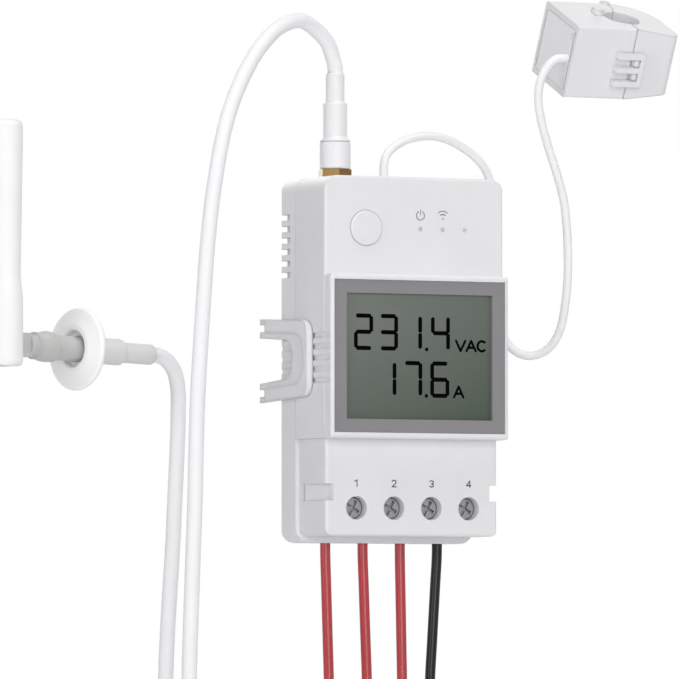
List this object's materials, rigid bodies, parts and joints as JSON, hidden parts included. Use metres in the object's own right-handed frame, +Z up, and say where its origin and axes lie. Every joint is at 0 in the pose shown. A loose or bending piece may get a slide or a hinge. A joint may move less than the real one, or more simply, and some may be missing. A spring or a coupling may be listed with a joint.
{
  "type": "energy monitor",
  "caption": "Wall-mounted energy monitor: display unit with screw terminals and sliding side clips, a hinged current clamp on a lead and a tilting antenna on a lead.",
  "frame": {"origin": "centre of the display unit's flat rear face", "axes": "+X to the right seen from the front, +Y to the rear (out of the rear face), +Z up"},
  "size_m": [0.2042, 0.0477, 0.2077],
  "materials": {
    "white_shell": "fine satin moulded white",
    "white_soft": "smooth white cable jacket and overmould",
    "clamp_shell": "semi-gloss white",
    "grey_bezel": "satin grey",
    "display": "grey-green display",
    "light_guide": "clear to milky",
    "circuit_board": "green solder mask",
    "black_plastic": "matte black",
    "blue_plastic": "satin blue",
    "ferrite": "dark ground iron",
    "shield": "tinned can",
    "lamp": "pale epoxy",
    "terminal_plastic": "matte off-white",
    "brass": "bright turned",
    "copper": "bare copper",
    "steel": "zinc plated",
    "red_insulation": "satin red",
    "black_insulation": "satin black",
    "tinned": "tinned crimp",
    "grey_barrel": "satin light grey"
  },
  "bodies": {
    "housing": {"rear_cover": "white_shell", "front_housing": "white_shell", "housing_screws": "steel", "display_bezel": "grey_bezel", "display_glass": "display", "light_guide": "light_guide", "display_board": "circuit_board", "main_board": "circuit_board", "board_header": "black_plastic", "relay": "blue_plastic", "power_transformer": "ferrite", "bulk_capacitors": "black_plastic", "radio_module": "shield", "rf_pigtail": "black_plastic", "clamp_inner_lead": "white_soft", "button_switch": "black_plastic", "light_pipes": "light_guide", "indicator_lights": "lamp", "terminal_block": "terminal_plastic", "contact_bars": "brass", "wire_cores": "copper", "wire_red_1": "red_insulation", "wire_red_2": "red_insulation", "wire_red_3": "red_insulation", "wire_black": "black_insulation", "wire_ferrules": "tinned", "aerial_socket": "brass", "aerial_socket_nut": "brass", "plug_sleeve": "white_soft", "antenna_lead": "white_soft", "socket_sleeve": "white_soft", "panel_socket": "brass", "panel_flange": "white_shell", "lead_grommet": "white_soft", "clamp_lead": "white_soft", "clamp_body": "clamp_shell", "clamp_end_cover": "clamp_shell", "clamp_core_fixed": "ferrite", "clamp_winding": "copper", "clamp_pin": "steel"},
    "button": {"button_cap": "white_shell", "switch_plunger": "black_plastic"},
    "clip_left": {"side_clip_left": "white_shell"},
    "clip_right": {"side_clip_right": "white_shell"},
    "screw_1": {"terminal_screw_1": "steel"},
    "screw_2": {"terminal_screw_2": "steel"},
    "screw_3": {"terminal_screw_3": "steel"},
    "screw_4": {"terminal_screw_4": "steel"},
    "wire_box_1": {"wire_clamp_1": "steel"},
    "wire_box_2": {"wire_clamp_2": "steel"},
    "wire_box_3": {"wire_clamp_3": "steel"},
    "wire_box_4": {"wire_clamp_4": "steel"},
    "coupling": {"plug_coupling": "white_soft"},
    "antenna_base": {"antenna_barrel": "grey_barrel"},
    "antenna_arm": {"antenna_mast": "white_shell", "antenna_radiator": "brass", "antenna_pin": "steel"},
    "clamp_jaw": {"clamp_cap": "clamp_shell", "clamp_core_moving": "ferrite", "clamp_latch": "clamp_shell"}
  },
  "joints": [
    {"name": "button_press", "type": "slide", "parent": "housing", "child": "button", "axis": [0, 1, 0], "range_m": [0, 0.0005], "stiffness_N_per_m": 1500, "springref_m": -0.0004},
    {"name": "clip_left_slide", "type": "slide", "parent": "housing", "child": "clip_left", "axis": [0, 1, 0], "range_m": [-0.0025, 0.006]},
    {"name": "clip_right_slide", "type": "slide", "parent": "housing", "child": "clip_right", "axis": [0, 1, 0], "range_m": [-0.0025, 0.006]},
    {"name": "terminal_screw_1_turn", "type": "hinge", "parent": "housing", "child": "screw_1", "pos_m": [-0.01665, -0.0221, -0.0398], "axis": [0, -1, 0], "range_deg": [0, 721]},
    {"name": "terminal_screw_2_turn", "type": "hinge", "parent": "housing", "child": "screw_2", "pos_m": [-0.00535, -0.0221, -0.0398], "axis": [0, -1, 0], "range_deg": [0, 721]},
    {"name": "terminal_screw_3_turn", "type": "hinge", "parent": "housing", "child": "screw_3", "pos_m": [0.00595, -0.0221, -0.0398], "axis": [0, -1, 0], "range_deg": [0, 721]},
    {"name": "terminal_screw_4_turn", "type": "hinge", "parent": "housing", "child": "screw_4", "pos_m": [0.01725, -0.0221, -0.0398], "axis": [0, -1, 0], "range_deg": [0, 721]},
    {"name": "wire_clamp_1_slide", "type": "slide", "parent": "housing", "child": "wire_box_1", "axis": [0, 1, 0], "range_m": [0, 0.0012]},
    {"name": "wire_clamp_2_slide", "type": "slide", "parent": "housing", "child": "wire_box_2", "axis": [0, 1, 0], "range_m": [0, 0.0012]},
    {"name": "wire_clamp_3_slide", "type": "slide", "parent": "housing", "child": "wire_box_3", "axis": [0, 1, 0], "range_m": [0, 0.0012]},
    {"name": "wire_clamp_4_slide", "type": "slide", "parent": "housing", "child": "wire_box_4", "axis": [0, 1, 0], "range_m": [0, 0.0012]},
    {"name": "coupling_turn", "type": "hinge", "parent": "housing", "child": "coupling", "pos_m": [-0.0172, -0.013, 0.055], "axis": [0, 0, 1], "range_deg": [0, 720]},
    {"name": "antenna_swivel", "type": "hinge", "parent": "housing", "child": "antenna_base", "pos_m": [-0.09415, -0.01565, 0.00155], "axis": [-0.9653, -0.2587, 0.0349], "continuous": true},
    {"name": "antenna_tilt", "type": "hinge", "parent": "antenna_base", "child": "antenna_arm", "pos_m": [-0.11886, -0.02227, 0.00244], "axis": [0.2588, -0.9659, 0], "range_deg": [0, 88]},
    {"name": "clamp_open", "type": "hinge", "parent": "housing", "child": "clamp_jaw", "pos_m": [0.067, -0.00639, 0.09018], "axis": [0, -0.4226, 0.9063], "range_deg": [0, 100]}
  ],
  "couplings": [
    {"joint": "terminal_screw_1_turn", "follows": "wire_clamp_1_slide", "rad_per_m": 10472},
    {"joint": "terminal_screw_2_turn", "follows": "wire_clamp_2_slide", "rad_per_m": 10472},
    {"joint": "terminal_screw_3_turn", "follows": "wire_clamp_3_slide", "rad_per_m": 10472},
    {"joint": "terminal_screw_4_turn", "follows": "wire_clamp_4_slide", "rad_per_m": 10472}
  ]
}
